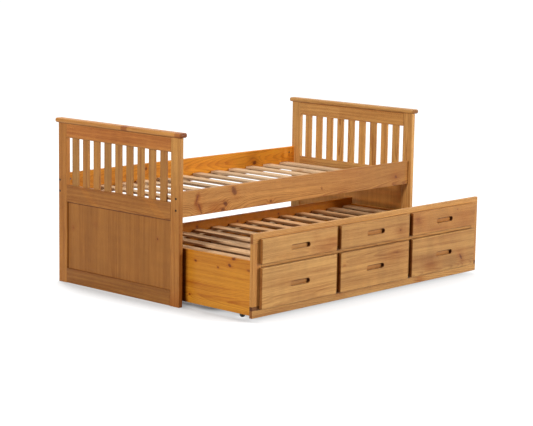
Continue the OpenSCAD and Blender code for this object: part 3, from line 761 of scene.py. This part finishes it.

# %% [markdown]
# ## Side rails, ledges and slats
# The front rail is the longest board in sight, and it shows what knotty pine can do: several dark knots
# near its lower edge and a curly patch at the footboard end. The back rail is lacquered orange. Two ledges
# along the rails carry twelve bare slats.

# %% Rails and slats
# The front rail darkens towards its right end: painted shade, where the light falls off
front_rail = timber("waxed pine.front rail", knots=[
    (-0.557, 0.036, 0.014, 1.9, 60, 0.9), (-0.622, -0.028, 0.010, 1.5, 30, 1.0),
    (-0.640, -0.058, 0.007, 2.0, 0, 1.0), (-0.838, 0.022, 0.0055, 4.2, 112, 0.55),
    (-0.815, -0.036, 0.006, 4.5, 65, 0.6), (-0.262, -0.050, 0.006, 1.5, 0, 0.9),
    (0.165, -0.022, 0.005, 1.4, 60, 0.7), (0.842, -0.016, 0.007, 1.3, 30, 0.7),
    (-0.800, 0.012, 0.026, 0.8, 15, 0.0), (-0.720, -0.030, 0.018, 1.2, 0, 0.0),
    (0.42, 0.06, 0.03, 3.0, 0, 0.0)],
    clouds=[
        (-0.833, 0.030, 0.009, 0.9, 0, 1.8), (-0.822, -0.030, 0.010, 1.0, 70, 1.8),
        (-0.845, 0.0, 0.009, 0.8, 0, 1.6), (-0.69, -0.045, 0.015, 2.2, 0, 0.9),
        (-0.30, -0.055, 0.012, 5.0, 0, 0.5), (0.842, -0.016, 0.022, 1.5, 0, 0.6),
        (0.36, -0.05, 0.014, 2.2, 0, 0.4)],
    lengths=[band(0.45, 1.6, (0.72, 0.66, 0.54), 0.45)])
back_rail = timber("amber pine.back rail", AMBER, knots=[
    (0.592, -0.006, 0.010, 1.6, 10, 1.0), (-0.337, 0.038, 0.008, 1.1, 0, 1.0),
    (-0.12, -0.03, 0.005, 1.4, 0, 0.9)],
    clouds=[(-0.6, 0.0, 0.014, 8.0, 1, 0.4), (0.2, 0.02, 0.012, 9.0, 0, 0.35)],
    lengths=[band(0.52, 1.6, (1.48, 1.58, 1.75), 0.30), band(-1.6, -0.25, (0.84, 0.84, 0.90), 0.25)])
nut_boxes = solid_boxes("barrel_nuts")
for side, finish, inward, tone, number in (("front", front_rail, 1, 0.6, 41),
                                           ("back", back_rail, -1, 0.3, 42)):
    node = f"{side}_side_rail"
    low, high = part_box(node)
    y, length = drill(high[1] if inward > 0 else low[1], inward, NUT_DEPTH, NUT_CLEAR)
    nuts = [(a + b) / 2 for a, b in nut_boxes if low[1] < a[1] < high[1]]
    holes = [((x, y, z), 1, NUT_RADIUS, length) for x, _, z in nuts]
    bored_board(f"{side}_rail_board", node, low, high, "x", finish, holes, 0.003, 0.0008, tone, 0.25, number)
planks("slat_ledge_boards", "bed", "slat_ledges", "x", bare, number=43)
planks("bed_slat_boards", "bed", "bed_slats", "y", bare, 0.003, 0.002, number=44, warmths=-0.2, vary=0.45)
dress("rail_bolts", dark_steel)
dress("barrel_nuts", zinc)
print("rails and slats done")

# %% [markdown]
# ## Fronts with a finger slot
# Each front is a thick board with a long slot routed into its face, where fingertips pull. Cutting it with
# a Boolean would leave a sharp rim. Instead the whole board is one surface in polar form: one parameter is
# the direction from the middle of the slot, the other walks from the slot's floor up its wall, over a
# rounded rim, across the face, round the outer edge and to the back. Both outlines, the slot and the board,
# are known as signed distances, so every ring of the surface is a line at a given distance from one of
# them. We find it along each direction by halving an interval, for all directions at once.

# %% Slotted front surface
SLOT_HALF, SLOT_RADIUS, SLOT_DEPTH, SLOT_DROP = 0.0605, 0.0135, 0.015, 0.003
CORNER_RADIUS, RIM_RADIUS, FRONT_EASE, SMALL = 0.003, 0.002, 0.0035, 0.001
FARTHEST, HALVINGS = 2.0, 40
# How much of the painted shade is left on the slot's lower and left walls, which face the light
LIT_SIDE_SHADE = 0.12

def stadium(p):
    """Signed distance to the slot: a bar with round ends that lies along the first coordinate."""
    return np.hypot(np.maximum(np.abs(p[..., 0]) - SLOT_HALF, 0), p[..., 1]) - SLOT_RADIUS

def rectangle(p, middle, half):
    """Signed distance to a rectangle with rounded corners."""
    q = np.abs(p - middle) - (half - CORNER_RADIUS)
    return np.hypot(*np.moveaxis(np.maximum(q, 0), -1, 0)) + np.minimum(q.max(axis=-1), 0) - CORNER_RADIUS

def ring_at(distance, level, directions):
    """For each direction from the origin, the point where the distance reaches the level."""
    near, far = np.zeros(len(directions)), np.full(len(directions), FARTHEST)
    for _ in range(HALVINGS):
        half_way = (near + far) / 2
        inside = distance(directions * half_way[:, None]) < level
        near, far = np.where(inside, half_way, near), np.where(inside, far, half_way)
    return directions * near[:, None]

def slope_of(distance, points, step=1e-6):
    """Direction in which the distance grows, from differences."""
    dx = distance(points + (step, 0)) - distance(points - (step, 0))
    dy = distance(points + (0, step)) - distance(points - (0, step))
    slope = np.stack([dx, dy], -1)
    return slope / np.linalg.norm(slope, axis=1, keepdims=True)

def slotted_front(name, body, node, finish, tone, warmth, number, steps=4):
    """A front: the direction from the slot's middle and the way from its floor to the board's back are the
    two parameters. The slot's middle is at the middle of the board along X and a little below it along Z."""
    low, high = np.array(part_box(node))
    center = (low + high)[[0, 2]] / 2 - (0, SLOT_DROP)
    half = (high - low)[[0, 2]] / 2
    middle = (high + low)[[0, 2]] / 2 - center

    def board(p):
        return rectangle(p, middle, half)

    cap = np.linspace(-np.pi / 2, np.pi / 2, 13)
    round_end = np.stack([SLOT_HALF + SLOT_RADIUS * np.cos(cap), SLOT_RADIUS * np.sin(cap)], -1)
    arc = np.linspace(0, np.pi / 2, 4)
    corner = half - CORNER_RADIUS + CORNER_RADIUS * np.stack([np.cos(arc), np.sin(arc)], -1)
    marks = np.concatenate([round_end, round_end * (-1, 1)]
                           + [corner * signs + middle for signs in ((1, 1), (-1, 1), (1, -1), (-1, -1))])
    angles = np.unique(np.round(np.arctan2(marks[:, 1], marks[:, 0]), 7))
    directions = np.stack([np.cos(angles), np.sin(angles)], -1)
    thick = high[1] - low[1]
    quarter = np.linspace(0, np.pi / 2, steps + 1)
    # Each ring: outline, level, depth behind the face, how much the normal leans sideways, how much forwards,
    # how much it is an edge, how much painted shade it gets deep in the slot and along the back edge
    rings = [(stadium, -0.0085, SLOT_DEPTH, 0.0, 1.0, 0.0, 0.0),
             (stadium, -0.0045, SLOT_DEPTH, 0.0, 1.0, 0.0, 0.75),
             (stadium, -SMALL, SLOT_DEPTH, 0.0, 1.0, 0.0, 0.95),
             (stadium, 0.0, SLOT_DEPTH - SMALL, -1.0, 0.0, 0.0, 1.0)]
    floor_rings = len(rings)
    rings += [(stadium, RIM_RADIUS * (1 - np.cos(a)), RIM_RADIUS * (1 - np.sin(a)), -np.cos(a), np.sin(a),
               np.sin(2 * a), 0.9 * np.cos(a)) for a in quarter]
    rings += [(board, -FRONT_EASE * (1 - np.sin(a)), FRONT_EASE * (1 - np.cos(a)), np.sin(a), np.cos(a),
               np.sin(2 * a), 0.0) for a in quarter]
    rings += [(board, 0.0, depth, 1.0, 0.0, 0.0, corner_shade) for depth, corner_shade in
              ((0.45 * thick, 0.0), (0.75 * thick, 0.35), (thick - SMALL, 0.9))]
    rings += [(board, -SMALL, thick, 0.0, -1.0, 0.0, 0.9)]
    points, normals, wear = [], [], []
    for outline, level, depth, side, front, edge, corner_shade in rings:
        flat = ring_at(outline, level, directions)
        slope = slope_of(outline, flat)
        # Painted shade: full on the slot's upper and right walls, which face away from the light, faint
        # elsewhere
        shaded_side = np.clip(slope.max(axis=1), LIT_SIDE_SHADE, 1.0) if outline is stadium else 1.0
        same = np.ones(len(flat))
        points.append(np.stack([flat[:, 0] + center[0], (low[1] + depth) * same, flat[:, 1] + center[1]], -1))
        normals.append(np.stack([slope[:, 0] * side, -front * same, slope[:, 1] * side], -1))
        wear.append(np.stack([edge * same, np.abs(slope[:, 0] * side), corner_shade * shaded_side * same], -1))
    points, normals, wear = map(np.concatenate, (points, normals, wear))
    normals /= np.linalg.norm(normals, axis=1, keepdims=True)
    stock = stock_rows(len(points), number, tone, warmth)
    stock[:floor_rings * len(angles)] += (0.0, -0.35, 0.45)
    shape = len(rings), len(angles)
    faces = [grid_faces(*shape)[:, ::-1], end_faces(*shape)[:, ::-1]]
    return new_piece(name, body, [node], finish, points, faces, normals,
                     grain=grain_of(points, low, high, "x"), stock=stock, wear=wear)

print("a finger slot is", 2000 * (SLOT_HALF + SLOT_RADIUS), "mm long")

# %% [markdown]
# ## The front of the guest bed
# A frame of rails, stiles and short uprights carries three false fronts above and leaves three openings
# below. The fronts stand proud of the frame, so that light from one side draws a dark line along their
# other side. Thin painted shadow lines on the rails just above and below the fronts, and painted shade
# along the fronts' back edges, deepen these lines. Each front has marks of its own, placed from its middle.

# %% Guest bed front
SHADE = (0.38, 0.28, 0.20)

def across_at(node, neighbour, end):
    """The place across a level board's face where the lower (0) or upper (1) edge of a neighbour lies."""
    low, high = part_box(node)
    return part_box(neighbour)[end][2] - (low[2] + high[2]) / 2

top_line = across_at("guest_top_rail", "left_false_front", 1)
middle_line = across_at("guest_middle_rail", "left_false_front", 0)
lower_line = across_at("guest_middle_rail", "left_drawer_front", 1)
bottom_line = across_at("guest_bottom_rail", "left_drawer_front", 0)
# How far the painted shadow lines on the rails reach above the fronts' top edges and below their bottom edges
above, below = 0.003, 0.0045
top_wax = own_wax("top_rail", strips=[band(-0.1, top_line + above, (0.86, 0.80, 0.74), 0.001)])
middle_wax = own_wax("middle_rail", strips=[band(middle_line - below, 0.1, SHADE, 0.001),
                                            band(-0.1, lower_line + above, (0.6, 0.5, 0.42), 0.001)])
bottom_wax = own_wax("bottom_rail", strips=[band(bottom_line - below, 0.1, SHADE, 0.001)], clouds=[
    (0.425, -0.012, 0.014, 1.6, 0, 1.0), (-0.27, 0.0, 0.012, 2.0, 0, 0.5)])
for name, node, along, finish, ease, end_ease, tone, warmth, number in (
        ("top_board", "top_rail", "x", top_wax, 0.003, 0.002, 0.95, 0.0, 51),
        ("bottom_board", "bottom_rail", "x", bottom_wax, 0.0025, 0.002, 0.4, 0.0, 52),
        ("middle_board", "middle_rail", "x", middle_wax, 0.001, 0.0004, 0.6, 0.0, 53),
        ("left_upright", "left_stile", "z", waxed, 0.0025, 0.0004, 0.4, 0.35, 54),
        ("right_upright", "right_stile", "z", waxed, 0.0025, 0.0004, 0.1, 0.35, 55),
        ("upper_uprights", "upper_muntins", "z", waxed, 0.001, 0.0004, 0.35, 0.8, 56),
        ("lower_uprights", "lower_muntins", "z", waxed, 0.001, 0.0004, 0.35, 0.8, 57)):
    planks("guest_" + name, "guest_bed", "guest_" + node, along, finish, ease, end_ease, tone, warmth, number)

# The left fronts are toned lighter than the others: painted light falling off to the right, on top of their
# own tone
FRONTS = {
    "left_false_front": (0.65, -0.3, dict(clouds=[
        (0.205, -0.034, 0.026, 3.0, 0, 0.75), (0.26, -0.005, 0.016, 2.0, 20, 0.5),
        (0.12, 0.03, 0.013, 1.4, 30, 0.4), (-0.12, -0.048, 0.014, 4.0, 0, 0.45)])),
    "middle_false_front": (0.0, 0.1, dict(knots=[(0.212, -0.016, 0.004, 1.3, 0, 0.8)], clouds=[
        (0.215, -0.02, 0.016, 1.6, 0, 0.7), (0.27, -0.045, 0.016, 2.0, 0, 0.4)])),
    "right_false_front": (-0.15, 0.35, dict(
        knots=[(0.12, 0.045, 0.003, 1.3, 0, 0.8), (-0.245, 0.022, 0.010, 1.3, 20, 0.25)], clouds=[
            (-0.25, 0.018, 0.020, 1.8, 20, 0.7), (0.19, -0.015, 0.026, 2.2, 0, 0.6),
            (-0.05, -0.052, 0.014, 4.0, 0, 0.5)])),
    "left_drawer_front": (0.65, -0.3, dict(clouds=[
        (-0.10, 0.02, 0.015, 3.0, 0, 0.3), (0.1, -0.06, 0.02, 4.0, 0, 0.3)])),
    "middle_drawer_front": (-0.02, 0.1, dict(clouds=[
        (0.13, 0.035, 0.024, 2.4, 0, 0.6), (0.2, 0.055, 0.016, 2.4, 0, 0.4)])),
    "right_drawer_front": (-0.05, 0.0, dict(
        knots=[(0.163, -0.046, 0.0055, 3.2, 52, 0.9)],
        strips=[band(-0.085, 0.010, (0.92, 0.88, 0.86), 0.03, 0.03)],
        clouds=[(-0.125, -0.060, 0.020, 1.8, 10, 0.9), (0.165, -0.045, 0.018, 1.9, 50, 0.5),
                (0.0, 0.07, 0.022, 4.0, 0, 0.35)])),
}
for number, (node, (tone, warmth, marks)) in enumerate(FRONTS.items(), start=61):
    body = node.replace("_front", "") if "drawer" in node else "guest_bed"
    slotted_front(node + "_board", body, node, own_wax(node, look=FRONT, **marks), tone, warmth, number)
print("fronts done")

# %% [markdown]
# ## The box behind the front
# Behind the front is a plain box: two sides and a back in orange lacquer, two dividers between the drawers,
# ledges and thirteen slats. The left side can be seen, so it gets its knots and its two reddish streaks.
# Where it runs in close behind the footboard's post, painted shade darkens it.

# %% Guest bed box
side_low, side_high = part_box("guest_left_side")
post_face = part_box("footboard_front_post")[0][1] - (side_low[1] + side_high[1]) / 2
left_side = timber("amber pine.left side", AMBER, knots=[
    (-0.289, 0.100, 0.0070, 1.6, -20, 1.0), (-0.205, 0.078, 0.0048, 1.4, -10, 0.9),
    (-0.039, 0.090, 0.0050, 1.8, -10, 1.0), (-0.317, 0.138, 0.0065, 2.0, 0, 1.0),
    (-0.425, 0.092, 0.006, 1.8, 0, 0.6), (0.003, -0.098, 0.0050, 1.0, 60, 1.0)],
    clouds=[(-0.12, -0.030, 0.010, 16.0, 2, 0.55), (-0.22, -0.078, 0.010, 22.0, 1, 0.65),
            (0.0, -0.026, 0.008, 5.0, 0, 0.6)],
    strips=[band(0.05, 0.40, (0.86, 0.79, 0.76), 0.06)], pins=0.0, shaded_span=(post_face - 0.012, 1.0))
guest_back = timber("amber pine.guest back", AMBER, knots=[
    (-0.43, 0.13, 0.008, 1.2, 0, 0.8), (-0.10, 0.125, 0.006, 1.3, 0, 0.8), (0.25, 0.132, 0.005, 1.2, 0, 0.8)])
# The slats darken towards their back ends: painted shade where they run in under the bed
guest_slat = timber("bare pine.guest slats", BARE, pins=0.15,
                    lengths=[band(0.39, 1.0, (0.76, 0.62, 0.48), 0.04)])
for name, nodes, along, finish, ease, end_ease, tone, warmth, number in (
        ("left_board", "guest_left_side", "y", left_side, 0.003, 0.001, 0.0, 0.0, 71),
        ("right_board", "guest_right_side", "y", amber, 0.003, 0.001, -1.9, 0.9, 72),
        # The back board is toned much darker and warmer: painted shade, as it stands under the bed
        ("back_boards", "guest_back_board", "x", guest_back, 0.003, 0.001, -1.45, 0.85, 73),
        ("divider_boards", "left_divider right_divider", "y", bare, 0.002, 0.0015, 0.0, 0.0, 74),
        ("ledge_boards", "guest_slat_ledges", "x", bare, 0.002, 0.0015, 0.0, 0.0, 75)):
    planks("guest_" + name, "guest_bed", nodes, along, finish, ease, end_ease, tone, warmth, number)
planks("guest_slat_boards", "guest_bed", "guest_slats", "y", guest_slat, 0.004, 0.002, 0.1, 0.3, 76,
       vary=0.35)
planks("castor_block_boards", "guest_bed", "castor_blocks", "y", bare, number=77)
dress("drawer_runners", timber("bare pine.runners", BARE, pins=0.0, plain=True))
print("guest bed box done")

# %% [markdown]
# ## Drawer boxes
# Inside, each drawer is a simple box of thin bare boards with a thin bottom. They only show when a drawer
# is open, which is also when people look closest.

# %% Drawers
for count, drawer in enumerate(("left_drawer", "middle_drawer", "right_drawer")):
    for part, along, number, tone in (("sides", "y", 86, 0.0), ("ends", "x", 85, 0.0),
                                      ("bottom", "x", 87, -0.05)):
        planks(f"{drawer}_{part}_boards", drawer, f"{drawer}_{part}", along, bare, 0.0015, 0.0005,
               number=number + 3 * count, tones=tone)
print("drawers done")

# %% [markdown]
# ## Castors
# The wheels are moulded plastic: a crowned tread, recessed sides and a hub round the axle. Such a shape is
# a profile turned about the axle, so its surface has the angle and the place on the profile as parameters.

# %% Wheels
def turned_part(name, body, node, finish, profile, sides=48):
    """A closed ring of revolution about an axle along X. profile lists (offset along X, radius)."""
    middle = np.mean(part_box(node), axis=0)
    offset, radius = np.array(profile, float).T
    turn = np.linspace(0, 2 * np.pi, sides, endpoint=False)[:, None]
    points = np.stack([np.broadcast_to(middle[0] + offset, (sides, len(offset))),
                       middle[1] + radius * np.cos(turn), middle[2] + radius * np.sin(turn)], -1)
    faces = [grid_faces(sides, len(offset), closed=True)[:, ::-1]]
    piece = new_piece(name, body, [node], finish, points.reshape(-1, 3), faces)
    piece.data.set_sharp_from_angle(angle=math.radians(38))

HALF_WHEEL = [(0.0070, 0.00255), (0.0070, 0.0055), (0.0062, 0.0060), (0.0050, 0.0064), (0.0048, 0.0115),
              (0.0055, 0.0122), (0.0062, 0.0128), (0.0062, 0.0148), (0.0052, 0.0156), (0.0030, 0.0159)]
WHEEL = [(-offset, radius) for offset, radius in HALF_WHEEL] + [(0.0, 0.0160)] + HALF_WHEEL[::-1]
for wheel in ("front_left_wheel", "front_right_wheel", "back_left_wheel", "back_right_wheel"):
    turned_part(wheel + "_roller", wheel, wheel, plastic, WHEEL)
dress("castor_forks", plastic)
dress("castor_axles", zinc)
print("castors done")

# %% [markdown]
# ## Floor and light
# The floor is a wide pale sheet. To the camera it also glows, so that it ends up white while it keeps the
# soft shadow round the bed. How much it glows depends on how open the floor is there. Three measures of
# ambient occlusion tell: the middle one draws the soft shadow, the far one deepens it under the bed, and
# the very short one keeps the thin slits right under the lowest edges from going black. A strip along the
# fronts of the guest bed is lifted, as if a light card lay there. The world is white to the camera and to
# reflections, and a dim grey to everything else, so it only fills the shadows. Three large soft panels
# light the bed: one in front to the right, one from the left, one overhead.

# %% Floor, world and lamps
def seen_directly(g):
    """1 for rays from the camera, mirrors and glass, 0 for light that a rough surface scatters."""
    rays = g.node("LightPath").outputs
    eye, glossy, clear = (Wire(g, rays[f"Is {kind} Ray"]) for kind in ("Camera", "Glossy", "Transmission"))
    return g.calc("MAXIMUM", eye, g.calc("MAXIMUM", glossy, clear))

SHADOW_REACH, DEEP_REACH, SLIT_REACH = 0.45, 1.5, 0.04
bpy.ops.mesh.primitive_plane_add(size=160)
floor = bpy.context.object
floor.name = "floor"
paper, g, sheet = new_material("floor paper")
seen = seen_directly(g)
pale = g.mix(seen, (0.45, 0.45, 0.45, 1), (0.25, 0.25, 0.25, 1))
g.feed(sheet.inputs, {"Base Color": pale, "Roughness": 0.9, "Specular IOR Level": 0.1})
shade = g.smooth(g.openness(SHADOW_REACH), 0.30, 0.90, 0.13, 0.97)
shade = shade * g.smooth(g.openness(DEEP_REACH), 0.0, 0.35, 0.40, 1.0)
low_roof = g.calc("MULTIPLY", 1.0 - g.openness(SLIT_REACH), 1.3, clamp=True)
shade = shade * (1.0 - low_roof) + low_roof * 0.60
x, y, _ = g.split(g.own_place())
along_front = g.smooth(x, -0.98, -0.88, 0.0, 0.52)
beside_front = g.smooth(y, -1.25, -0.90) * g.smooth(y, -0.50, -0.32, 1.0, 0.0)
shade = shade + along_front * beside_front * (1.0 - shade)
glow = g.wired("Emission", (None, seen * shade))
both = g.wired("AddShader", (Wire(g, sheet.outputs[0]), glow))
g.feed(paper.node_tree.nodes["Material Output"].inputs, {"Surface": both})
floor.data.materials.append(paper)

FILL = 0.17
world = bpy.data.worlds.new("studio")
world.use_nodes = True
bpy.context.scene.world = world
g = Graph(world.node_tree)
g.feed(world.node_tree.nodes["Background"].inputs, ((1, 1, 1, 1), seen_directly(g) * (1.0 - FILL) + FILL))

def panel(name, place, target, size, level):
    """A square soft lamp that faces a point and gives a surface there, turned to it, light of that level."""
    lamp = bpy.data.lights.new(name, "AREA")
    aim = np.array(place) - target
    lamp.shape, lamp.size = "SQUARE", size
    lamp.energy = level * np.pi ** 2 * (aim @ aim)
    holder = bpy.data.objects.new(name, lamp)
    bpy.context.collection.objects.link(holder)
    turn = math.atan2(aim[0], -aim[1])
    rise = math.atan2(aim[2], math.hypot(aim[0], aim[1]))
    facing = Euler((math.pi / 2 - rise, 0, turn)).to_matrix().to_4x4()
    holder.matrix_world = Matrix.Translation(place) @ facing

panel("key", (6.4, -10.0, 3.9), (0, -0.4, 0.3), 2.6, 0.84)
panel("left", (-13.0, -2.3, 6.0), (0, 0.0, 0.5), 2.6, 0.60)
panel("overhead", (0.2, 3.4, 8.6), (0, -0.1, 0.5), 1.4, 0.60)
bpy.context.scene.view_settings.view_transform = "Standard"
print("light done")
